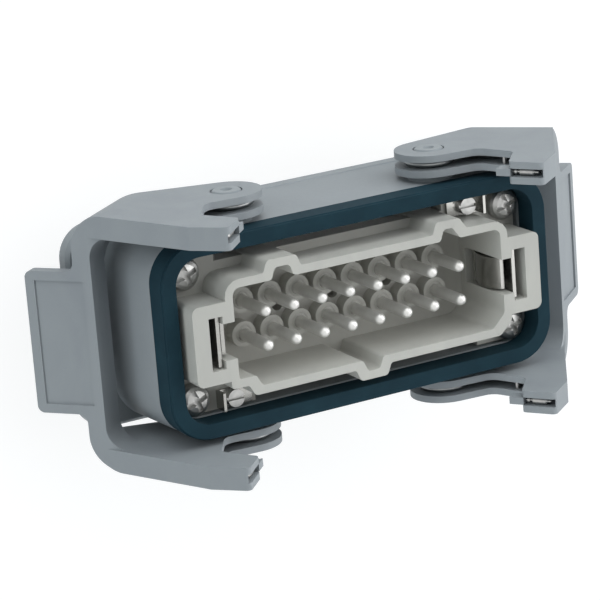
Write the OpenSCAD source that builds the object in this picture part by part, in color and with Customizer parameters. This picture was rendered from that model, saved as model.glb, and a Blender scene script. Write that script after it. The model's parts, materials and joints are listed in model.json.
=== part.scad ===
// Heavy duty rectangular connector: a die-cast bulkhead housing with two
// fork-armed locking levers, a rim gasket and a 16-way male insert.
// Millimetres. X runs along the housing, Y across it, and Z points the way the
// mating hood comes off. Z = 0 is the panel face of the flange.

/* [Housing] */
// How far the panel flange reaches past the housing's ends
flange_end = 8.3; // [7.8:0.1:9.2]
// How far the panel flange reaches past the housing's long sides
flange_side = 0.2; // [0.1:0.1:0.6]
// Thickness of the panel flange
flange_thickness = 3.5; // [3:0.1:4]
// Corner radius of the panel flange
flange_corner = 7; // [5:0.5:8]
// Chamfer on the flange's upper edge
flange_chamfer = 0.8; // [0.4:0.1:1.2]
// Distance of the panel screws from the flange's ends
mount_edge_x = 4; // [3.8:0.1:4.4]
// Distance of the panel screws from the flange's long edges
mount_edge_y = 6.1; // [5.6:0.1:6.6]
// Diameter of the panel screw holes
mount_hole_d = 4.4; // [4.2:0.1:4.6]
// Thickness of the end walls at the rim
end_wall = 3.8; // [3.6:0.1:4.1]
// Thickness of the side walls at the rim
side_wall = 3.7; // [3.5:0.1:4]
// Height of the housing's rim above the panel
rim_height = 22.7; // [22.4:0.1:23.4]
// Corner radius of the housing at its rim
rim_corner = 9; // [8:0.5:10]
// Draft of each side wall between rim and flange
side_draft = 0.8; // [0.5:0.1:0.8]
// Height of the tongue that holds the rim gasket
tongue_height = 2.4; // [1.8:0.2:2.8]
// Thickness of the tongue that holds the rim gasket
tongue_width = 1.2; // [1:0.1:1.4]

/* [Seals] */
// Height of the rim gasket
gasket_height = 5.5; // [5:0.1:5.8]
// Width of the panel seal
seal_width = 2.2; // [1.8:0.1:2.4]
// Depth of the panel seal in its groove
seal_depth = 1.4; // [1:0.1:1.6]

/* [Insert] */
// Length of the insert's mounting plate
insert_length = 84; // [83:0.1:84.4]
// Width of the insert's mounting plate
insert_width = 34; // [33.4:0.1:34.2]
// Thickness of the insert's mounting lugs
lug_thickness = 4; // [3.6:0.1:4.4]
// Height of the lugs' seat above the panel
lug_seat = 18; // [17.6:0.1:18.4]
// Distance of the insert's screws from its ends
screw_edge_x = 3.25; // [3.2:0.05:3.4]
// Distance of the insert's screws from its long sides
screw_edge_y = 3.5; // [3.4:0.05:3.6]
// Height of the shroud's rim above the panel
shroud_height = 31.8; // [31.2:0.1:32.4]
// Height of the chamber floor above the panel
floor_height = 15; // [14.6:0.1:15.2]
// Wall thickness of the shroud
shroud_wall = 1.8; // [1.6:0.1:2]
// Depth of the terminal block behind the panel
terminal_depth = 11; // [10:0.5:12]

/* [Contacts] */
// Distance between neighbouring contacts in a row
contact_pitch = 6.7; // [6.66:0.01:6.76]
// Distance between the two rows of contacts
row_pitch = 7.4; // [7.3:0.1:7.5]
// Diameter of a contact pin
pin_d = 2.5; // [2.3:0.1:2.6]
// Height of a pin's tip above the panel
pin_tip = 29.7; // [29:0.1:30.4]
// Outer diameter of the insulating collar at a pin's foot
collar_d = 5.6; // [5.2:0.1:5.8]
// Height of the insulating collar at a pin's foot
collar_height = 3.2; // [2.6:0.1:3.6]
// Diameter of a contact's screw terminal
barrel_d = 5; // [4.8:0.1:5.1]
// Diameter of the wire bore in a screw terminal
wire_bore_d = 3.4; // [3.2:0.1:3.5]

/* [Levers] */
// Distance of each lever's pivot from the housing's rim end
pivot_inset = 21.9; // [21.7:0.1:22.1]
// Depth of the pivots below the housing's rim
pivot_drop = 5.1; // [5:0.1:5.4]
// Thickness of a lever's arm
arm_thickness = 4.8; // [4.6:0.1:5]
// Width of the fork's gap in a lever's arm
fork_gap = 1.8; // [1.6:0.1:2]
// Radius of the lobe round the pivot
lobe_r = 7.4; // [7.2:0.1:7.6]
// Thickness of the wall that joins a lever's arms
bridge_wall = 4; // [3.6:0.1:4.2]
// Depth of the wall that joins a lever's arms
bridge_depth = 6.8; // [6.4:0.1:7]
// Slope of the grip plate against the panel
grip_slope = 42; // [41:0.5:42]
// Reach of the grip plate from the lever's inner edge
grip_reach = 15.2; // [14.5:0.1:15.2]
// Width of the grip plate
grip_width = 30.6; // [28:0.2:32]
// Thickness of the grip plate
grip_thickness = 2.4; // [2:0.1:2.4]
// Depth of the bare panel in the grip plate
grip_recess = 0.4; // [0.3:0.1:0.5]
// Diameter of the pivot rivets
rivet_d = 5; // [4.8:0.1:5.2]
// Diameter of the spring plungers in the hooks
plunger_d = 1.5; // [1.3:0.1:1.5]
// Diameter of the spring wire in the levers
wire_d = 1.3; // [1.1:0.1:1.4]
// How far the left lever stands open
left_open = 9; // [0:0.5:10.5]
// How far the right lever stands open
right_open = 0; // [0:0.5:10.5]

/* [Hidden] */
$fn = 48;
e = 0.01;
fit = 0.1;
arm_clearance = 0.5;
boss_clearance = 0.3;

insert_play_x = 0.6;
insert_play_y = 0.4;

cavity_length = insert_length + 2 * insert_play_x;
cavity_width = insert_width + 2 * insert_play_y;
cavity_corner = 5;
rim_length = cavity_length + 2 * end_wall;
rim_width = cavity_width + 2 * side_wall;
base_length = rim_length + 2 * side_draft;
base_width = rim_width + 2 * side_draft;
flange_length = base_length + 2 * flange_end;
flange_width = base_width + 2 * flange_side;
mount_pitch_x = flange_length - 2 * mount_edge_x;
mount_pitch_y = flange_width - 2 * mount_edge_y;
insert_pitch_x = insert_length - 2 * screw_edge_x;
insert_pitch_y = insert_width - 2 * screw_edge_y;
pivot_x = rim_length / 2 - pivot_inset;
pivot_z = rim_height - pivot_drop;
gasket_width = side_wall - 0.3;
seal_corner = cavity_corner + 0.5;
seal_inset = 1;
tongue_inset = (gasket_width - tongue_width) / 2;
arm_in = flange_width / 2 + arm_clearance;
arm_out = arm_in + arm_thickness;
gap_in = arm_in + (arm_thickness - fork_gap) / 2;
gap_out = gap_in + fork_gap;
boss_face = arm_in - boss_clearance;
lug_top = lug_seat + lug_thickness;
collar_top = floor_height + collar_height;

housing_grey = [0.62, 0.64, 0.66];
lever_grey = [0.57, 0.60, 0.62];
seal_black = [0.13, 0.18, 0.21];
insert_beige = [0.72, 0.71, 0.68];
pin_silver = [0.80, 0.80, 0.78];
steel = [0.75, 0.76, 0.77];

// ---- outlines -------------------------------------------------------------

function unit(v) = v / norm(v);

// Turns each corner of a polygon into an arc of its own radius
function rounded(pts, radii, steps = 5) = [
  for (i = [0 : len(pts) - 1])
    let (
      p = pts[i],
      a = unit(pts[(i + len(pts) - 1) % len(pts)] - p),
      b = unit(pts[(i + 1) % len(pts)] - p),
      half = acos(a * b) / 2,
      r = radii[i],
      c = p + unit(a + b) * (r / sin(half)),
      s = p + a * (r / tan(half)) - c,
      f = p + b * (r / tan(half)) - c,
      from = atan2(s[1], s[0]),
      turn = atan2(s[0] * f[1] - s[1] * f[0], s * f)
    )
    each (r == 0 ? [p] : [
      for (k = [0 : steps])
        c + r * [cos(from + turn * k / steps), sin(from + turn * k / steps)]
    ])
];

module rounded_rect(length, width, r) {
  square([length - 2 * r, width], center = true);
  square([length, width - 2 * r], center = true);
  for (x = [-1, 1], y = [-1, 1])
    translate([x * (length / 2 - r), y * (width / 2 - r)]) circle(r = r);
}

module slab(length, width, r, z, h) {
  translate([0, 0, z]) linear_extrude(height = h) rounded_rect(length, width, r);
}

module at_corners(px, py) {
  for (x = [-1, 1], y = [-1, 1])
    translate([x * px / 2, y * py / 2, 0]) children();
}

// Lays a drawing in X and Z, and gives it thickness between two values of Y
module side_plate(y0, y1) {
  translate([0, y1, 0]) rotate([90, 0, 0]) linear_extrude(height = y1 - y0) children();
}

// ---- housing --------------------------------------------------------------

module housing_shell() {
  hull() {
    slab(flange_length, flange_width, flange_corner, 0, flange_thickness - flange_chamfer);
    slab(flange_length - 2 * flange_chamfer, flange_width - 2 * flange_chamfer,
         flange_corner - flange_chamfer, 0, flange_thickness);
  }
  hull() {
    slab(base_length, base_width, rim_corner + side_draft, 1, 1);
    slab(rim_length, rim_width, rim_corner, 1, rim_height - 1);
  }
  slab(rim_length - 2 * tongue_inset, rim_width - 2 * tongue_inset,
       rim_corner - tongue_inset, rim_height - 1, 1 + tongue_height);
  for (x = [-1, 1], y = [-1, 1])
    translate([x * pivot_x, y * boss_face, pivot_z])
      rotate([y * 90, 0, 0]) cylinder(d = rivet_d + 5, h = boss_face - cavity_width / 2 - 1);
}

boss_r = 3.9;
boss_foot = 4;

module screw_boss() {
  to_end = (cavity_length - insert_pitch_x) / 2 + e;
  to_side = (cavity_width - insert_pitch_y) / 2 + e;
  boss_h = lug_seat - boss_foot;
  translate([0, 0, boss_foot]) {
    cylinder(r = boss_r, h = boss_h);
    translate([0, -boss_r, 0]) cube([to_end, to_side + boss_r, boss_h]);
    translate([-boss_r, 0, 0]) cube([to_end + boss_r, to_side, boss_h]);
  }
}

// Slab that stands out from the cavity by d all round
module seal_ring(d, z, h) {
  slab(cavity_length + 2 * d, cavity_width + 2 * d, seal_corner + d - seal_inset, z, h);
}

module housing_body() color(housing_grey) {
  difference() {
    union() {
      difference() {
        housing_shell();
        slab(cavity_length, cavity_width, cavity_corner, -1, 40);
        difference() {
          slab(rim_length, rim_width, rim_corner, rim_height, 10);
          slab(rim_length - 2 * tongue_inset, rim_width - 2 * tongue_inset,
               rim_corner - tongue_inset, rim_height - 1, 12);
        }
        slab(rim_length - 2 * (tongue_inset + tongue_width),
             rim_width - 2 * (tongue_inset + tongue_width),
             rim_corner - tongue_inset - tongue_width, rim_height, 10);
      }
      for (x = [0, 1], y = [0, 1])
        mirror([x, 0, 0]) mirror([0, y, 0])
          translate([insert_pitch_x / 2, insert_pitch_y / 2, 0]) screw_boss();
    }
    at_corners(mount_pitch_x, mount_pitch_y)
      translate([0, 0, -1]) cylinder(d = mount_hole_d, h = 30);
    at_corners(insert_pitch_x, insert_pitch_y)
      translate([0, 0, 6]) cylinder(d = 4, h = 20);
    for (x = [-1, 1])
      translate([x * pivot_x, 0, pivot_z]) rotate([90, 0, 0])
        cylinder(d = rivet_d + fit, h = 60, center = true);
    difference() {
      seal_ring(seal_inset + seal_width + fit, -1, 1 + seal_depth);
      seal_ring(seal_inset, -2, 3 + seal_depth);
    }
  }
}

// ---- seals ----------------------------------------------------------------

module rim_gasket() color(seal_black) {
  lip = 0.5;
  difference() {
    union() {
      slab(rim_length, rim_width, rim_corner, rim_height, gasket_height - lip);
      slab(rim_length - lip, rim_width - lip, rim_corner - lip / 2, rim_height, gasket_height);
    }
    slab(rim_length - 2 * gasket_width, rim_width - 2 * gasket_width,
         rim_corner - gasket_width, rim_height - 1, 10);
    difference() {
      slab(rim_length - 2 * tongue_inset + fit, rim_width - 2 * tongue_inset + fit,
           rim_corner - tongue_inset + fit / 2, rim_height - 1, 1 + tongue_height + fit);
      slab(rim_length - 2 * (tongue_inset + tongue_width) - fit,
           rim_width - 2 * (tongue_inset + tongue_width) - fit,
           rim_corner - tongue_inset - tongue_width - fit / 2, rim_height - 2,
           3 + tongue_height + fit);
    }
  }
}

module flange_seal() color(seal_black) {
  difference() {
    seal_ring(seal_inset + seal_width + fit / 2, 0, seal_depth);
    seal_ring(seal_inset + fit / 2, -1, 3 + seal_depth);
  }
}

// ---- insert ---------------------------------------------------------------

earth_at = [insert_length / 2 - 12.5, insert_width / 2 - 2.1];
chamber_x = insert_length / 2 - 7.9;
chamber_y = insert_width / 2 - 4.4;
block_x = insert_length / 2 - 0.2;
block_y = insert_width / 4;
slot_x = insert_length / 2 - 5.4;
slot_length = 11.2;
slot_width = 3.2;
key_out = 2.5;
// Ends of the two upper keys, measured from the chamber's end
key_a = [9.2, 18];
key_b = [10, 18.4];

// Outline of the polarised shroud, drawn in by d all round
function shroud_outline(d) = rounded([
    [-chamber_x + d, chamber_y - d],
    [key_a[0] - chamber_x + d, chamber_y - d],
    [key_a[0] + 0.9 - chamber_x + d, chamber_y + key_out - d],
    [key_a[1] - 0.9 - chamber_x - d, chamber_y + key_out - d],
    [key_a[1] - chamber_x - d, chamber_y - d],
    [chamber_x - key_b[1] + d, chamber_y - d],
    [chamber_x - key_b[1] + 0.9 + d, chamber_y + key_out - d],
    [chamber_x - key_b[0] - 1.7 - d, chamber_y + key_out - d],
    [chamber_x - key_b[0] - d, chamber_y - d],
    [chamber_x - d, chamber_y - d],
    [chamber_x - d, 3 - chamber_y + d], [chamber_x - 3.1 - d, -chamber_y + d],
    [3.6 - d, -chamber_y + d], [2.6 - d, -chamber_y - key_out + d],
    [-3.9 + d, -chamber_y - key_out + d], [-4.9 + d, -chamber_y + d],
    [5.3 - chamber_x + d, -chamber_y + d], [3.9 - chamber_x + d, 2.4 - chamber_y + d],
    [-chamber_x + d, 2.4 - chamber_y + d]
  ],
  [3.4 - d, 0.8, 1, 1, 0.8, 0.8, 1, 1, 0.8, 3.4 - d,
   1.5, 1.5, 0.8, 1, 1, 0.8, 1, 0.8, 0.6], 4);

module for_contacts() {
  for (i = [0 : 15])
    translate([((i % 8) - 3.5) * contact_pitch, (i < 8 ? 1 : -1) * row_pitch / 2, 0])
      children();
}

lug_long = insert_length / 2 - 18;
lug_short = insert_length / 2 - 11;

module mounting_plate() {
  difference() {
    slab(insert_length, insert_width, 3, lug_seat, lug_thickness);
    // The long sides are open between the lugs
    for (turn = [0, 180]) rotate([0, 0, turn])
      translate([-lug_short, insert_width / 2 - 2.5, lug_seat - 1])
        cube([lug_short + lug_long, 5, lug_thickness + 2]);
    at_corners(insert_pitch_x, insert_pitch_y)
      translate([0, 0, lug_seat - 1]) cylinder(d = 4.4, h = 10);
    for (s = [-1, 1]) translate([s * earth_at[0], s * earth_at[1], lug_seat - 1])
      cylinder(d = 2.4 + 2 * fit, h = 10);
  }
}

module insert_body() color(insert_beige) {
  difference() {
    union() {
      mounting_plate();
      translate([0, 0, floor_height - 5])
        linear_extrude(height = shroud_height - floor_height + 5)
          polygon(shroud_outline(0));
      slab(2 * block_x, 2 * block_y, 1.5, 8, shroud_height - 8);
      slab(insert_length - 17, insert_width - 6.4, 2, -terminal_depth, terminal_depth + lug_seat);
    }
    difference() {
      translate([0, 0, floor_height]) linear_extrude(height = 30)
        polygon(shroud_outline(shroud_wall));
      for_contacts() translate([0, 0, floor_height - 1]) cylinder(d = collar_d, h = 1 + collar_height);
    }
    for (x = [-1, 1]) {
      translate([x * slot_x, 0, 12 + 15]) cube([slot_width, slot_length, 30], center = true);
      translate([x * (slot_x - 3.1), 0, 17 + 15]) cube([4, 7.8, 30], center = true);
    }
    for_contacts() {
      translate([0, 0, -terminal_depth - 1]) cylinder(d = barrel_d + 2 * fit, h = terminal_depth + 11);
      translate([0, 0, 0]) cylinder(d = pin_d + 1 + 2 * fit, h = 40);
    }
    for (i = [0 : 7], y = [-1, 1])
      translate([(i - 3.5) * contact_pitch, y * (row_pitch / 2 + 10), 1])
        rotate([90, 0, 0]) cylinder(d = 4.4, h = 18, center = true);
    for (x = [-2, 0, 2])
      translate([x * contact_pitch, 0, floor_height - 3]) cylinder(d = 2.6, h = 10);
  }
}

// ---- contacts -------------------------------------------------------------

// One turned contact: wire barrel, shoulder and round-nosed pin
module contact_pin(i) color(pin_silver)
  translate([((i % 8) - 3.5) * contact_pitch, (i < 8 ? 1 : -1) * row_pitch / 2, 0])
    difference() {
      rotate_extrude() polygon([
        [0, -6], [barrel_d / 2, -6], [barrel_d / 2, 9.9],
        [pin_d / 2 + 0.5, 9.9], [pin_d / 2 + 0.5, collar_top - 0.3],
        [pin_d / 2, collar_top - 0.3],
        for (a = [0 : 15 : 90])
          [pin_d / 2 * cos(a), pin_tip - pin_d / 2 + pin_d / 2 * sin(a)]
      ]);
      translate([0, 0, -7]) cylinder(d = wire_bore_d, h = 14);
      translate([0, 0, 1]) rotate([i < 8 ? -90 : 90, 0, 0]) cylinder(d = 2.5, h = 10);
    }

module slotted_screw(d, shank, head_d, head_h) {
  difference() {
    union() {
      translate([0, 0, -shank]) cylinder(d = d, h = shank + e);
      cylinder(d = head_d, h = head_h);
    }
    translate([0, 0, head_h]) cube([head_d + 1, 0.7, 1.4], center = true);
  }
}

module terminal_screws() color(steel)
  for (i = [0 : 7], y = [-1, 1])
    translate([(i - 3.5) * contact_pitch, y * (row_pitch / 2 + barrel_d / 2 + fit), 1])
      rotate([y * -90, 0, 0]) slotted_screw(2.4, 0.9, 4, 1.8);

// Pan head with a cross recess over a plain shank
module insert_screws() color(steel)
  at_corners(insert_pitch_x, insert_pitch_y) translate([0, 0, lug_top]) {
    difference() {
      rotate_extrude() polygon([
        [0, 0], [3.5, 0], [3.5, 1.4],
        for (a = [10 : 20 : 90]) [3.5 * cos(a), 1.2 + 1.8 * sin(a)]
      ]);
      for (a = [0, 90])
        rotate([0, 0, a + 20]) translate([0, 0, 3]) cube([4.8, 1.1, 2.8], center = true);
    }
    translate([0, 0, -13]) cylinder(d = 3.9, h = 13 + e);
  }

// ---- earthing -------------------------------------------------------------

// Bent strip: a blade in the end slot, and a bowed leaf that the mating blade rubs on
module earth_contact(side) color(steel) scale([side, 1, 1])
  translate([slot_x, 0, 0]) {
    translate([-1.2, -5.3, 12.1]) cube([0.8, 10.6, 18.6]);
    translate([-3.6, -3.4, 18.8]) cube([2.5, 6.8, 0.8]);
    intersection() {
      translate([5.2, 0, 23.9]) rotate([90, 0, 0]) difference() {
        cylinder(r = 9.7, h = 6.8, center = true);
        cylinder(r = 9, h = 8, center = true);
      }
      translate([-6, -3.4, 18.8]) cube([4.5, 6.8, 10.2]);
    }
  }

module earth_contact_left() earth_contact(-1);
module earth_contact_right() earth_contact(1);

// Plate under each earth screw, with a tab turned up beside the insert's screw
module earth_plates() color(steel)
  for (turn = [0, 180]) rotate([0, 0, turn])
    translate([earth_at[0], earth_at[1], lug_top]) difference() {
      union() {
        translate([-4.4, -2, 0]) cube([8, 3.9, 0.6]);
        translate([3, -2, 0]) cube([0.6, 3.9, 3.4]);
      }
      translate([0, 0, -1]) cylinder(d = 2.4 + 2 * fit, h = 3);
    }

module earth_screws() color(steel)
  for (turn = [0, 180]) rotate([0, 0, turn])
    translate([earth_at[0], earth_at[1], lug_top + 0.6])
      slotted_screw(2.4, lug_thickness, 3.8, 1.6);

// ---- levers ---------------------------------------------------------------

lobe_slope = 8;
slot_slope = -4;
frame_radius = 7.5;
window_radius = 4.5;
grip_fillet = 2;
edge_front = [30.8, 1.7];
hook_tip = [9.6, 29.3];
hook_root = [5.3, 23];
along_grip = [cos(grip_slope), -sin(grip_slope)];
into_wall = [-sin(grip_slope), -cos(grip_slope)];
edge_outer = edge_front + bridge_wall * along_grip;
lobe_tangent = lobe_r * [-sin(lobe_slope), -cos(lobe_slope)];
heel_run = (edge_outer - lobe_tangent);
// Where the lobe's rear tangent meets the wall's outer face
heel_depth = (heel_run * unit(lobe_tangent)) / -(into_wall * unit(lobe_tangent));
heel = edge_outer + heel_depth * into_wall;

// Side view of an arm: lobe, heel, front edge, hook and the slot for the peg
function arm_outline() = concat(
  rounded([
    lobe_tangent, heel, edge_outer, edge_front, [16.3, 24], hook_tip,
    hook_root, [11, 16.2], [7.5, 8], lobe_r * [sin(slot_slope), cos(slot_slope)]
  ], [0, 3.5, 0.4, 1, 2, 1, 1, 2, 3, 0]),
  [for (a = [90 - slot_slope + 10 : 10 : 270 - lobe_slope - 5]) lobe_r * [cos(a), sin(a)]]);

// Front view of the frame that the arms, the wall and the grip plate make
module frame_outline() {
  r = frame_radius;
  for (y = [-1, 1]) translate([bridge_wall - r, y * (arm_out - r)]) circle(r = r);
  translate([bridge_wall - r - 60, -arm_out]) square([60, 2 * arm_out]);
  translate([bridge_wall - 60, r - arm_out]) square([60, 2 * (arm_out - r)]);
}

module frame_window() {
  r = window_radius;
  for (y = [-1, 1]) translate([-r, y * (arm_in - r)]) circle(r = r);
  translate([-60 - r, -arm_in]) square([60, 2 * arm_in]);
  translate([-60, r - arm_in]) square([60, 2 * (arm_in - r)]);
}

// Puts a drawing on the sloping front face, with its depth towards the panel
module on_front(depth) {
  translate([edge_front[0], 0, edge_front[1]]) rotate([0, grip_slope, 0])
    translate([0, 0, -depth]) linear_extrude(height = depth) children();
}

fork_region = [
  [-12, -12], [12.5, -12], [15, 9], [14.6, 18.5], [11.6, 25.8], [8, 32], [0, 28], [-12, 12]
];

head_sink = 0.8;

module lever_body() {
  difference() {
    union() {
      intersection() {
        for (y = [0, 1]) mirror([0, y, 0]) side_plate(arm_in, arm_out) polygon(arm_outline());
        translate([edge_front[0], 0, edge_front[1]]) rotate([0, grip_slope, 0])
          translate([0, 0, -60]) linear_extrude(height = 120) frame_outline();
      }
      on_front(bridge_depth) intersection() {
        difference() {
          frame_outline();
          frame_window();
        }
        translate([-5, -arm_out]) square([20, 2 * arm_out]);
      }
      on_front(grip_thickness) {
        translate([1, -grip_width / 2]) square([grip_reach - 2.5, grip_width]);
        translate([1, 1.5 - grip_width / 2]) square([grip_reach - 1, grip_width - 3]);
        for (y = [-1, 1])
          translate([grip_reach - 1.5, y * (grip_width / 2 - 1.5)]) circle(r = 1.5);
        for (y = [0, 1]) mirror([0, y]) translate([bridge_wall - e, grip_width / 2 - e]) difference() {
          square(grip_fillet + e);
          translate([grip_fillet + e, grip_fillet + e]) circle(r = grip_fillet);
        }
      }
    }
    on_front(grip_recess)
      translate([2.1, 2 - grip_width / 2]) square([grip_reach - 4.2, grip_width - 4]);
    for (y = [0, 1]) mirror([0, y, 0]) {
      side_plate(gap_in, gap_out) polygon(fork_region);
      translate([0, arm_out - head_sink, 0]) rotate([-90, 0, 0]) cylinder(d = rivet_d + 1.8, h = 5);
    }
    rotate([90, 0, 0]) cylinder(d = rivet_d + 2 * fit, h = 80, center = true);
  }
}

// Stands a lever's piece at its pivot, opened by its own angle
module at_lever(side) {
  scale([1, 1, 1]) mirror([side < 0 ? 1 : 0, 0, 0])
    translate([pivot_x, 0, pivot_z])
      rotate([0, side < 0 ? left_open : right_open, 0]) children();
}

module at_both_arms() {
  for (y = [0, 1]) mirror([0, y, 0]) children();
}

module lever(side) color(lever_grey) at_lever(side) lever_body();
module lever_left() lever(-1);
module lever_right() lever(1);

module pivot_rivet(sx, sy) color(steel)
  translate([sx * pivot_x, 0, pivot_z]) mirror([0, sy < 0 ? 1 : 0, 0]) rotate([-90, 0, 0])
    rotate_extrude() polygon([
      [0, cavity_width / 2 + 0.2], [rivet_d / 2, cavity_width / 2 + 0.2],
      [rivet_d / 2, arm_out - head_sink + fit], [rivet_d / 2 + 0.6, arm_out - head_sink + fit],
      [rivet_d / 2 + 0.6, arm_out - 0.1], [rivet_d / 2 + 0.3, arm_out + 0.2],
      [1.3, arm_out + 0.2], [0.9, arm_out - 0.3], [0, arm_out - 0.3]
    ]);

module pivot_rivet_left_upper() pivot_rivet(-1, 1);
module pivot_rivet_left_lower() pivot_rivet(-1, -1);
module pivot_rivet_right_upper() pivot_rivet(1, 1);
module pivot_rivet_right_lower() pivot_rivet(1, -1);

// Wire spring: a coil round the rivet with a leg that runs up behind the peg slot
leg = [[4.9, -0.6], [12.7, 8.6], [12.4, 16.6]];

module wire(a, b) {
  run = b - a;
  translate([a[0], a[1], 0]) rotate([0, 0, atan2(run[1], run[0])]) rotate([0, 90, 0])
    cylinder(d = wire_d, h = norm(run));
  translate([b[0], b[1], 0]) sphere(d = wire_d + 0.04);
}

module lever_springs(side) color(steel) at_lever(side) at_both_arms()
  translate([0, (gap_in + gap_out) / 2, 0]) rotate([90, 0, 0]) {
    rotate_extrude() translate([4.9, 0]) circle(d = wire_d);
    wire(leg[0], leg[1]);
    wire(leg[1], leg[2]);
  }

module lever_springs_left() lever_springs(-1);
module lever_springs_right() lever_springs(1);

// The plunger lies behind the hook's end face, and the block that it pushes stands in the slot
along_hook = unit(hook_tip - hook_root);
plunger_at = hook_root + 1.5 * [along_hook[1], -along_hook[0]];
hook_angle = atan2(along_hook[1], along_hook[0]);

module hook_plungers(side) color(steel) at_lever(side) at_both_arms()
  translate([plunger_at[0], (gap_in + gap_out) / 2, plunger_at[1]]) rotate([0, -hook_angle, 0])
    rotate([0, 90, 0]) rotate_extrude() polygon([
      [0, 0.3], [0.3, 0.3], [0.3, 0.8], [0.6, 0.8], [0.6, 1.3], [0.3, 1.3], [0.3, 1.8],
      [plunger_d / 2, 2], [plunger_d / 2, 4.8], [0.3, 5.3], [0.3, 6], [0, 6]
    ]);
module hook_plungers_left() hook_plungers(-1);
module hook_plungers_right() hook_plungers(1);

module slider_blocks(side) color(lever_grey) at_lever(side) at_both_arms()
  side_plate(gap_in + 0.1, gap_out - 0.1) translate(plunger_at) rotate(hook_angle) difference() {
    translate([-3, -1.6]) square([3.2, 3]);
    for (y = [-1, -0.1, 0.8]) translate([-3.1, y - 0.15]) square([0.4, 0.3]);
  }
module slider_blocks_left() slider_blocks(-1);
module slider_blocks_right() slider_blocks(1);

module stop_pins(side) color(steel) at_lever(side) at_both_arms()
  side_plate(gap_in, gap_out) translate([11.1, 12.4]) circle(d = 1);
module stop_pins_left() stop_pins(-1);
module stop_pins_right() stop_pins(1);

housing_body();
rim_gasket();
flange_seal();
insert_body();
contact_pin(0);  // contact_pin_01
contact_pin(1);  // contact_pin_02
contact_pin(2);  // contact_pin_03
contact_pin(3);  // contact_pin_04
contact_pin(4);  // contact_pin_05
contact_pin(5);  // contact_pin_06
contact_pin(6);  // contact_pin_07
contact_pin(7);  // contact_pin_08
contact_pin(8);  // contact_pin_09
contact_pin(9);  // contact_pin_10
contact_pin(10);  // contact_pin_11
contact_pin(11);  // contact_pin_12
contact_pin(12);  // contact_pin_13
contact_pin(13);  // contact_pin_14
contact_pin(14);  // contact_pin_15
contact_pin(15);  // contact_pin_16
terminal_screws();
insert_screws();
earth_contact_left();
earth_contact_right();
earth_plates();
earth_screws();
lever_left();
lever_right();
pivot_rivet_left_upper();
pivot_rivet_left_lower();
pivot_rivet_right_upper();
pivot_rivet_right_lower();
lever_springs_left();
lever_springs_right();
hook_plungers_left();
hook_plungers_right();
slider_blocks_left();
slider_blocks_right();
stop_pins_left();
stop_pins_right();
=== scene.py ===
import json
import math

import bpy
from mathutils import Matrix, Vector

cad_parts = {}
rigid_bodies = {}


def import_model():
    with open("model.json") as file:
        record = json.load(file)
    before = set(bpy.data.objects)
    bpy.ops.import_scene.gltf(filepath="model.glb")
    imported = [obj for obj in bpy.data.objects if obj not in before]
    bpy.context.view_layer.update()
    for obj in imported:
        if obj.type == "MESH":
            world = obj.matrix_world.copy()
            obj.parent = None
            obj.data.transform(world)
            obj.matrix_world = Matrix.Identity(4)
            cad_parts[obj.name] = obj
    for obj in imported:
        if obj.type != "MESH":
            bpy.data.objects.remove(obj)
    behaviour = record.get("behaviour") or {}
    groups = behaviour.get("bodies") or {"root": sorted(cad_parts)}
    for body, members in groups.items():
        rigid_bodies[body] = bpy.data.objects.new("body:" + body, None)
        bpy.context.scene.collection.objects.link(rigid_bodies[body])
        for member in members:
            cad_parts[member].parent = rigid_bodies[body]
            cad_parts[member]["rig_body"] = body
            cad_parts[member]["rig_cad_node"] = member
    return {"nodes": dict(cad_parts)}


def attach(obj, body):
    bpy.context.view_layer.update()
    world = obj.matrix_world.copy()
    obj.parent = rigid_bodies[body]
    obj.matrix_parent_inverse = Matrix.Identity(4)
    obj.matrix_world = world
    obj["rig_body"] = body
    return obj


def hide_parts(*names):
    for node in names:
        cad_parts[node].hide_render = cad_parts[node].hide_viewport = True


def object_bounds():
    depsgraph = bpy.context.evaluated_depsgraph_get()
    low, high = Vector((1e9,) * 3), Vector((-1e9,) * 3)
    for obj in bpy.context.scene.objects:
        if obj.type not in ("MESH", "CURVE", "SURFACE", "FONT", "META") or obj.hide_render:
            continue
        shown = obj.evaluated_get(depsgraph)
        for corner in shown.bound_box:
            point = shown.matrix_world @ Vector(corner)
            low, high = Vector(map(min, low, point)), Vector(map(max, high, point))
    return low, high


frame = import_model()
frameLow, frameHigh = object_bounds()
nodes = frame["nodes"]
print("frame loaded:", len(nodes), "nodes")


def hexColor(text, alpha=1.0):
    # sRGB hex to the linear values that the shaders use
    channels = [int(text[i:i + 2], 16) / 255 for i in (1, 3, 5)]
    linear = [c / 12.92 if c <= 0.04045 else ((c + 0.055) / 1.055) ** 2.4 for c in channels]
    return (*linear, alpha)


def addNode(tree, kind, settings=None, links=None):
    # one node, with values by socket name or attribute, and links into its sockets
    node = tree.nodes.new(kind)
    for key, value in (settings or {}).items():
        if key in node.inputs:
            node.inputs[key].default_value = value
        else:
            setattr(node, key, value)
    for key, source in (links or {}).items():
        tree.links.new(source, node.inputs[key])
    return node


def startMaterial(name):
    made = bpy.data.materials.new(name)
    made.use_nodes = True
    tree = made.node_tree
    tree.nodes.clear()
    place = addNode(tree, "ShaderNodeTexCoord").outputs["Object"]
    return made, tree, place


def perMetre(millimetres):
    # texture scale whose cells measure this many millimetres on the object
    return 1000.0 / millimetres


def addTint(tree, source, low, high, start=0.0, end=1.0):
    # a two-stop ramp between a finish's two colours
    ramp = addNode(tree, "ShaderNodeValToRGB", None, {"Fac": source})
    for stop, color, spot in zip(ramp.color_ramp.elements, (low, high), (start, end)):
        stop.color = hexColor(color)
        stop.position = spot
    return ramp.outputs["Color"]


def closeMaterial(tree, settings, links):
    shader = addNode(tree, "ShaderNodeBsdfPrincipled", settings, links)
    addNode(tree, "ShaderNodeOutputMaterial", None, {"Surface": shader.outputs[0]})


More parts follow.
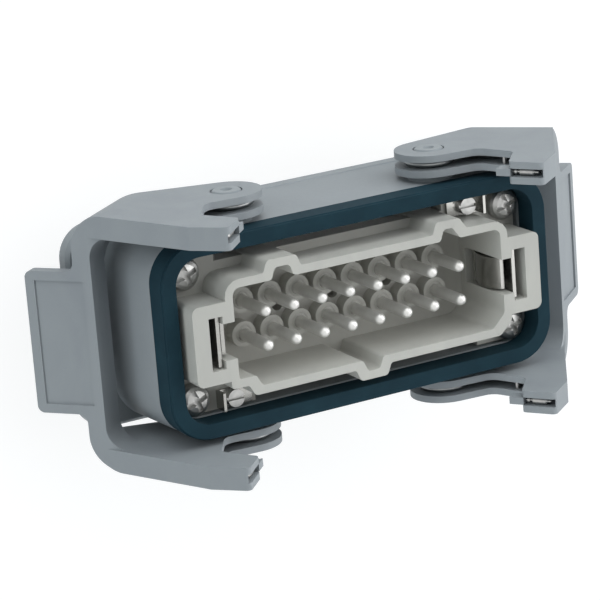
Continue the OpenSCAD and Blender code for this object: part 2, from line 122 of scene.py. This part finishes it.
def setMaterial(material, *names):
    for name in names:
        mesh = nodes[name].data
        mesh.materials.clear()
        mesh.materials.append(material)


def powderCoatedZinc(name, look):
    # die casting with a baked powder coat: a soft orange peel, and a dull broad sheen
    made, tree, place = startMaterial(name)
    patches = addNode(tree, "ShaderNodeTexNoise", {"Scale": perMetre(look["patchMm"]), "Detail": 3.0},
                      {"Vector": place})
    tint = addTint(tree, patches.outputs["Fac"], look["shade"], look["color"], 0.3, 0.62)
    peel = addNode(tree, "ShaderNodeTexNoise", {"Scale": perMetre(look["peelMm"]), "Detail": 2.0},
                   {"Vector": place})
    bump = addNode(tree, "ShaderNodeBump", {"Strength": look["peelDepth"], "Distance": 0.00006},
                   {"Height": peel.outputs["Fac"]})
    rough = addNode(tree, "ShaderNodeMapRange", {"To Min": look["rough"] - 0.05, "To Max": look["rough"] + 0.07},
                    {"Value": peel.outputs["Fac"]})
    closeMaterial(tree, {"IOR": look["ior"]},
                  {"Base Color": tint, "Roughness": rough.outputs["Result"],
                   "Normal": bump.outputs["Normal"]})
    return made


def mouldedPolyamide(name, look):
    # glass-filled nylon from a spark-eroded mould: fine even grain with faint flow streaks
    made, tree, place = startMaterial(name)
    flow = addNode(tree, "ShaderNodeMapping", {"Scale": (perMetre(look["flowMm"]), perMetre(look["flowMm"] * 2.5),
                                                         perMetre(look["flowMm"]))}, {"Vector": place})
    streaks = addNode(tree, "ShaderNodeTexNoise", {"Scale": 1.0, "Detail": 4.0, "Distortion": 0.6},
                      {"Vector": flow.outputs["Vector"]})
    tint = addTint(tree, streaks.outputs["Fac"], look["shade"], look["color"], 0.28, 0.6)
    grain = addNode(tree, "ShaderNodeTexNoise", {"Scale": perMetre(look["grainMm"]), "Detail": 3.0,
                                                 "Roughness": 0.6}, {"Vector": place})
    bump = addNode(tree, "ShaderNodeBump", {"Strength": look["grainDepth"], "Distance": 0.00004},
                   {"Height": grain.outputs["Fac"]})
    rough = addNode(tree, "ShaderNodeMapRange", {"To Min": look["rough"] - 0.06, "To Max": look["rough"] + 0.08},
                    {"Value": grain.outputs["Fac"]})
    closeMaterial(tree, {"IOR": look["ior"]},
                  {"Base Color": tint, "Roughness": rough.outputs["Result"],
                   "Normal": bump.outputs["Normal"]})
    return made


def mouldedNitrile(name, look):
    # compression-moulded rubber: a dark blue-green that stays dull, with a slight bloom
    made, tree, place = startMaterial(name)
    bloom = addNode(tree, "ShaderNodeTexNoise", {"Scale": perMetre(look["bloomMm"]), "Detail": 5.0},
                    {"Vector": place})
    tint = addTint(tree, bloom.outputs["Fac"], look["color"], look["bloom"], 0.4, 0.75)
    skin = addNode(tree, "ShaderNodeTexNoise", {"Scale": perMetre(look["skinMm"]), "Detail": 2.0},
                   {"Vector": place})
    bump = addNode(tree, "ShaderNodeBump", {"Strength": 0.25, "Distance": 0.00004},
                   {"Height": skin.outputs["Fac"]})
    closeMaterial(tree, {"IOR": 1.5, "Specular IOR Level": look["gloss"], "Roughness": look["rough"]},
                  {"Base Color": tint, "Normal": bump.outputs["Normal"]})
    return made


def silverPlatedBrass(name, look):
    # turned pins under silver: bright, with fine rings round the axis and a few dull patches
    made, tree, place = startMaterial(name)
    rings = addNode(tree, "ShaderNodeMapping", {"Scale": (0.0, 0.0, perMetre(look["ringMm"]))}, {"Vector": place})
    turned = addNode(tree, "ShaderNodeTexNoise", {"Scale": 1.0, "Detail": 2.0}, {"Vector": rings.outputs["Vector"]})
    dull = addNode(tree, "ShaderNodeTexNoise", {"Scale": perMetre(look["dullMm"]), "Detail": 3.0},
                   {"Vector": place})
    tint = addTint(tree, dull.outputs["Fac"], look["shade"], look["color"])
    rough = addNode(tree, "ShaderNodeMapRange", {"To Min": look["rough"] + 0.12, "To Max": look["rough"] - 0.06},
                    {"Value": dull.outputs["Fac"]})
    bump = addNode(tree, "ShaderNodeBump", {"Strength": 0.3, "Distance": 0.00002},
                   {"Height": turned.outputs["Fac"]})
    closeMaterial(tree, {"Metallic": 0.7},
                  {"Base Color": tint, "Roughness": rough.outputs["Result"],
                   "Normal": bump.outputs["Normal"]})
    return made


def zincPlatedSteel(name, look):
    # zinc plating on small steel parts: grey, with cloudy bright and dull spots
    made, tree, place = startMaterial(name)
    cloud = addNode(tree, "ShaderNodeTexNoise", {"Scale": perMetre(look["cloudMm"]), "Detail": 4.0,
                                                 "Roughness": 0.6}, {"Vector": place})
    tint = addTint(tree, cloud.outputs["Fac"], look["shade"], look["color"])
    rough = addNode(tree, "ShaderNodeMapRange", {"To Min": look["rough"] + 0.1, "To Max": look["rough"] - 0.08},
                    {"Value": cloud.outputs["Fac"]})
    bump = addNode(tree, "ShaderNodeBump", {"Strength": 0.3, "Distance": 0.00003},
                   {"Height": cloud.outputs["Fac"]})
    closeMaterial(tree, {"Metallic": 1.0},
                  {"Base Color": tint, "Roughness": rough.outputs["Result"],
                   "Normal": bump.outputs["Normal"]})
    return made


def rolledSpringStrip(name, look):
    # cold-rolled stainless strip: long faint rolling lines, and a clean dark mirror between its bright bends
    made, tree, place = startMaterial(name)
    rolled = addNode(tree, "ShaderNodeMapping", {"Scale": (perMetre(look["lineMm"] * 30), perMetre(look["lineMm"]),
                                                           perMetre(look["lineMm"] * 30))}, {"Vector": place})
    lines = addNode(tree, "ShaderNodeTexNoise", {"Scale": 1.0, "Detail": 3.0}, {"Vector": rolled.outputs["Vector"]})
    tint = addTint(tree, lines.outputs["Fac"], look["shade"], look["color"])
    rough = addNode(tree, "ShaderNodeMapRange", {"To Min": look["rough"] - 0.03, "To Max": look["rough"] + 0.04},
                    {"Value": lines.outputs["Fac"]})
    bump = addNode(tree, "ShaderNodeBump", {"Strength": 0.06, "Distance": 0.00002},
                   {"Height": lines.outputs["Fac"]})
    closeMaterial(tree, {"Metallic": 1.0},
                  {"Base Color": tint, "Roughness": rough.outputs["Result"],
                   "Normal": bump.outputs["Normal"]})
    return made


housingPaint = powderCoatedZinc("powderCoatedZinc", {
    "color": "#909599", "shade": "#898f93", "patchMm": 18, "peelMm": 0.7, "peelDepth": 0.35, "rough": 0.5, "ior": 1.4})
leverPlastic = mouldedPolyamide("mouldedPolyamide", {
    "color": "#909599", "shade": "#8a8f94", "flowMm": 9, "grainMm": 0.45, "grainDepth": 0.35, "rough": 0.52,
    "ior": 1.42})
insertPlastic = mouldedPolyamide("mouldedPolycarbonate", {
    "color": "#b8b7b1", "shade": "#b1b0ab", "flowMm": 7, "grainMm": 0.4, "grainDepth": 0.25, "rough": 0.42,
    "ior": 1.58})
sealRubber = mouldedNitrile("mouldedNitrileRubber", {
    "color": "#112d38", "bloom": "#173540", "bloomMm": 6, "skinMm": 0.5, "rough": 0.78, "gloss": 0.2})
pinSilver = silverPlatedBrass("silverPlatedBrass", {
    "color": "#ecebe8", "shade": "#d6d5d2", "ringMm": 0.3, "dullMm": 2.2, "rough": 0.3})
screwSteel = zincPlatedSteel("zincPlatedSteel", {
    "color": "#c8c8c6", "shade": "#9c9d9c", "cloudMm": 1.6, "rough": 0.38})
stripSteel = rolledSpringStrip("rolledSpringStrip", {
    "color": "#b0b0ad", "shade": "#a3a39f", "lineMm": 0.4, "rough": 0.24})
# spring steel grey, darkened in part as painted shade for the gap between the lever arms where the springs sit
springSteelPaintedShade = zincPlatedSteel("springSteelDarkenedAsPaintedShade", {
    "color": "#a6a9a9", "shade": "#7c8081", "cloudMm": 1.2, "rough": 0.3})
rivetPaint = powderCoatedZinc("paintedRivetSteel", {
    "color": "#8f9599", "shade": "#858b8f", "patchMm": 4, "peelMm": 0.6, "peelDepth": 0.3, "rough": 0.42, "ior": 1.4})

setMaterial(housingPaint, "housing_body")
setMaterial(leverPlastic, "lever_left", "lever_right", "slider_blocks_left", "slider_blocks_right")
setMaterial(insertPlastic, "insert_body")
setMaterial(sealRubber, "rim_gasket", "flange_seal")
setMaterial(pinSilver, *[name for name in nodes if name.startswith("contact_pin")])
setMaterial(screwSteel, "terminal_screws", "insert_screws", "earth_screws",
            "hook_plungers_left", "hook_plungers_right", "stop_pins_left", "stop_pins_right")
setMaterial(stripSteel, "earth_contact_left", "earth_contact_right", "earth_plates")
setMaterial(springSteelPaintedShade, "lever_springs_left", "lever_springs_right")
setMaterial(rivetPaint, *[name for name in nodes if name.startswith("pivot_rivet")])
print("finishes set")


def deselectAll():
    if bpy.context.object and bpy.context.object.mode == "EDIT":
        bpy.ops.object.mode_set(mode="OBJECT")
    bpy.ops.object.select_all(action="DESELECT")


def applyModifier(piece, kind, settings):
    # adds one modifier to the active piece and applies it at once
    made = piece.modifiers.new(kind.lower(), kind)
    for key, value in settings.items():
        setattr(made, key, value)
    bpy.ops.object.modifier_apply(modifier=made.name)


merge = {"gap": 0.000004, "runOut": 0.000001, "flatAngle": 0.6, "quadAngle": 1.0}  # metres, degrees


def mergedCopy(name, title, flats):
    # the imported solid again, its loose triangles joined, as a piece of its own
    deselectAll()
    source = nodes[name]
    bpy.context.view_layer.objects.active = source
    source.select_set(True)
    bpy.ops.object.duplicate(linked=False)
    piece = bpy.context.active_object
    piece.name = title
    piece.data.name = title
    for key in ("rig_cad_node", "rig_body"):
        if key in piece:
            del piece[key]
    bpy.ops.object.mode_set(mode="EDIT")
    bpy.ops.mesh.select_all(action="SELECT")
    bpy.ops.mesh.remove_doubles(threshold=merge["gap"])
    if flats == "whole":
        bpy.ops.mesh.dissolve_limited(angle_limit=math.radians(merge["flatAngle"]))
    else:  # a flat with many holes keeps its inner edges, as four-sided pieces
        bpy.ops.mesh.tris_convert_to_quads(face_threshold=math.radians(merge["quadAngle"]),
                                           shape_threshold=math.radians(180))
    bpy.ops.object.mode_set(mode="OBJECT")
    return piece


def breakEdges(piece, look):
    # the small radius that a mould or a tumbler leaves on every sharp edge
    applyModifier(piece, "BEVEL", {"width": look["edge"], "segments": look["steps"], "limit_method": "ANGLE",
                                   "angle_limit": math.radians(look["angle"]), "harden_normals": False,
                                   "miter_outer": "MITER_ARC"})
    deselectAll()
    piece.select_set(True)
    bpy.ops.object.mode_set(mode="EDIT")
    bpy.ops.mesh.select_all(action="SELECT")
    bpy.ops.mesh.remove_doubles(threshold=merge["runOut"])  # where two radii run out into each other
    bpy.ops.object.mode_set(mode="OBJECT")
    bpy.ops.object.shade_smooth_by_angle(angle=math.radians(look["smooth"]))
    applyModifier(piece, "WEIGHTED_NORMAL", {"keep_sharp": True, "weight": 80})


softEdges = {
    "housing_body": {"title": "castHousing", "slot": "housing_paint", "flats": "parted", "body": "base",
                     "edge": 0.00035, "steps": 3, "angle": 32, "smooth": 30},
    "insert_body": {"title": "mouldedInsert", "slot": "insert_plastic", "flats": "parted", "body": "base",
                    "edge": 0.0002, "steps": 2, "angle": 32, "smooth": 30},
    "rim_gasket": {"title": "rimGasket", "slot": "seal_rubber", "flats": "parted", "body": "base",
                   "edge": 0.00045, "steps": 3, "angle": 32, "smooth": 30},
    "lever_left": {"title": "leftLever", "slot": "lever_plastic", "flats": "whole", "body": "left_lever",
                   "edge": 0.00035, "steps": 3, "angle": 28, "smooth": 28},
    "lever_right": {"title": "rightLever", "slot": "lever_plastic", "flats": "whole", "body": "right_lever",
                    "edge": 0.00035, "steps": 3, "angle": 28, "smooth": 28},
}

for name, look in softEdges.items():
    piece = mergedCopy(name, look["title"], look["flats"])
    breakEdges(piece, look)
    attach(piece, look["body"])
    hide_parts(name)
    print(look["title"], len(piece.data.polygons), "faces")


sleeve = {"bore": 0.00128, "lip": 0.00152, "outside": 0.00183, "foot": 0.01792, "shelf": 0.0182, "top": 0.01845,
          "edge": 0.00009, "sides": 32, "pitch": 0.0067, "row": 0.0037, "inRow": 8}


def growLoop(rise, ratio):
    # a new loop from the selected one: lifted, or drawn in or out round the pin's axis
    bpy.ops.mesh.extrude_region_move(TRANSFORM_OT_translate={"value": (0, 0, rise)})
    if ratio != 1.0:
        bpy.ops.transform.resize(value=(ratio, ratio, 1.0), center_override=(0, 0, 0))


def makeSleeve():
    # the moulded collar's mouth, which grips the pin above its shoulder
    deselectAll()
    bpy.ops.mesh.primitive_circle_add(vertices=sleeve["sides"], radius=sleeve["bore"], fill_type="NOTHING",
                                      location=(0, 0, 0))
    piece = bpy.context.active_object
    bpy.ops.object.mode_set(mode="EDIT")
    bpy.ops.mesh.select_all(action="SELECT")
    bpy.ops.transform.translate(value=(0, 0, sleeve["foot"]))
    growLoop(0, sleeve["outside"] / sleeve["bore"])
    growLoop(sleeve["shelf"] - sleeve["foot"], 1.0)
    growLoop(0, sleeve["lip"] / sleeve["outside"])
    growLoop(sleeve["top"] - sleeve["shelf"], 1.0)
    growLoop(0, sleeve["bore"] / sleeve["lip"])
    bpy.ops.mesh.select_all(action="DESELECT")
    bpy.ops.mesh.select_non_manifold()
    bpy.ops.mesh.bridge_edge_loops()  # the bore, from its mouth down to its foot
    bpy.ops.mesh.select_all(action="SELECT")
    bpy.ops.mesh.normals_make_consistent(inside=False)
    bpy.ops.object.mode_set(mode="OBJECT")
    breakEdges(piece, {"edge": sleeve["edge"], "steps": 2, "angle": 40, "smooth": 35})
    piece.data.materials.append(insertPlastic)
    return piece


def placeSleeves():
    first = makeSleeve()
    for i in range(2 * sleeve["inRow"]):
        deselectAll()
        first.select_set(True)
        bpy.context.view_layer.objects.active = first
        bpy.ops.object.duplicate(linked=False)
        piece = bpy.context.active_object
        piece.name = piece.data.name = "contactSleeve%02d" % (i + 1)
        piece.location = ((i % sleeve["inRow"] - (sleeve["inRow"] - 1) / 2) * sleeve["pitch"],
                          sleeve["row"] if i < sleeve["inRow"] else -sleeve["row"], 0)
        bpy.ops.object.transform_apply(location=True, rotation=False, scale=False)
        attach(piece, "base")
    bpy.data.objects.remove(first)


placeSleeves()
print("contact sleeves placed")


studio = {"floorSize": 6.0, "floorGap": 0.0003, "floorColor": "#8f9192", "floorGlow": 0.8,
          "topPower": 2.6, "sidePower": 4.4, "lampSize": 1.0,
          "topAt": (0.0, 0.85, 0.5), "sideAt": (0.75, 0.2, 0.65),
          "skyColor": "#f4fbfd", "skyLow": 2.2, "skyHigh": 0.0}


def anyRay(tree):
    # 1 where the lens, a gloss or clear glass looks at the surroundings, 0 where they only give light
    ray = addNode(tree, "ShaderNodeLightPath")
    either = addNode(tree, "ShaderNodeMath", {"operation": "MAXIMUM"})
    tree.links.new(ray.outputs["Is Camera Ray"], either.inputs[0])
    tree.links.new(ray.outputs["Is Glossy Ray"], either.inputs[1])
    every = addNode(tree, "ShaderNodeMath", {"operation": "MAXIMUM"})
    tree.links.new(either.outputs[0], every.inputs[0])
    tree.links.new(ray.outputs["Is Transmission Ray"], every.inputs[1])
    return every.outputs[0]


def makeFloor():
    bpy.ops.object.select_all(action="DESELECT")
    bpy.ops.mesh.primitive_plane_add(size=studio["floorSize"])
    floor = bpy.context.active_object
    floor.name = "studioFloor"
    for corner in floor.data.vertices:
        corner.co.z = frameLow.z - studio["floorGap"]
    made, tree, place = startMaterial("paperSweep")  # matt white paper: lifts to white where the lens sees it
    paper = addNode(tree, "ShaderNodeBsdfDiffuse", {"Color": hexColor(studio["floorColor"])})
    level = addNode(tree, "ShaderNodeMath", {"operation": "MULTIPLY"})
    level.inputs[1].default_value = studio["floorGlow"]
    tree.links.new(anyRay(tree), level.inputs[0])
    glow = addNode(tree, "ShaderNodeEmission", None, {"Strength": level.outputs[0]})
    both = addNode(tree, "ShaderNodeAddShader")
    tree.links.new(paper.outputs[0], both.inputs[0])
    tree.links.new(glow.outputs[0], both.inputs[1])
    addNode(tree, "ShaderNodeOutputMaterial", None, {"Surface": both.outputs[0]})
    floor.data.materials.append(made)


def makeLamp(name, power, size, place):
    lamp = bpy.data.lights.new(name, "AREA")
    lamp.energy, lamp.shape, lamp.size = power, "SQUARE", size
    holder = bpy.data.objects.new(name, lamp)
    bpy.context.scene.collection.objects.link(holder)
    holder.location = place
    holder.rotation_euler = (Vector((0, 0, 0.01)) - Vector(place)).to_track_quat("-Z", "Y").to_euler()


def makeStudio():
    makeFloor()
    makeLamp("topLamp", studio["topPower"], studio["lampSize"], studio["topAt"])
    makeLamp("sideLamp", studio["sidePower"], studio["lampSize"], studio["sideAt"])
    world = bpy.data.worlds.new("studioSky")
    world.use_nodes = True
    tree = world.node_tree
    tree.nodes.clear()
    way = addNode(tree, "ShaderNodeSeparateXYZ", None,
                  {"Vector": addNode(tree, "ShaderNodeTexCoord").outputs["Generated"]})
    level = addNode(tree, "ShaderNodeMapRange", {"From Min": 0.0, "From Max": 1.0, "To Min": studio["skyLow"],
                                                 "To Max": studio["skyHigh"]}, {"Value": way.outputs["Z"]})
    sky = addNode(tree, "ShaderNodeBackground", {"Color": hexColor(studio["skyColor"])},
                  {"Strength": level.outputs["Result"]})  # light walls round the set, and a dim ceiling
    paper = addNode(tree, "ShaderNodeBackground", {"Color": (1, 1, 1, 1), "Strength": 1.0})
    mixed = addNode(tree, "ShaderNodeMixShader", None, {"Fac": anyRay(tree)})
    tree.links.new(sky.outputs[0], mixed.inputs[1])
    tree.links.new(paper.outputs[0], mixed.inputs[2])
    addNode(tree, "ShaderNodeOutputWorld", None, {"Surface": mixed.outputs[0]})
    bpy.context.scene.world = world
    bpy.context.scene.view_settings.view_transform = "Standard"


lens = {"millimetres": 180.0, "sensor": 36.0, "at": (-0.29706, 0.17482, 0.55122),
        "turn": (-13.630, -29.485, -4.955)}


def makeCamera():
    data = bpy.data.cameras.new("studioCamera")
    data.lens, data.sensor_width = lens["millimetres"], lens["sensor"]
    data.clip_start, data.clip_end = 0.02, 20.0
    camera = bpy.data.objects.new("studioCamera", data)
    bpy.context.scene.collection.objects.link(camera)
    camera.location = lens["at"]
    camera.rotation_euler = [math.radians(angle) for angle in lens["turn"]]
    bpy.context.scene.camera = camera


makeStudio()
makeCamera()
print("studio ready")
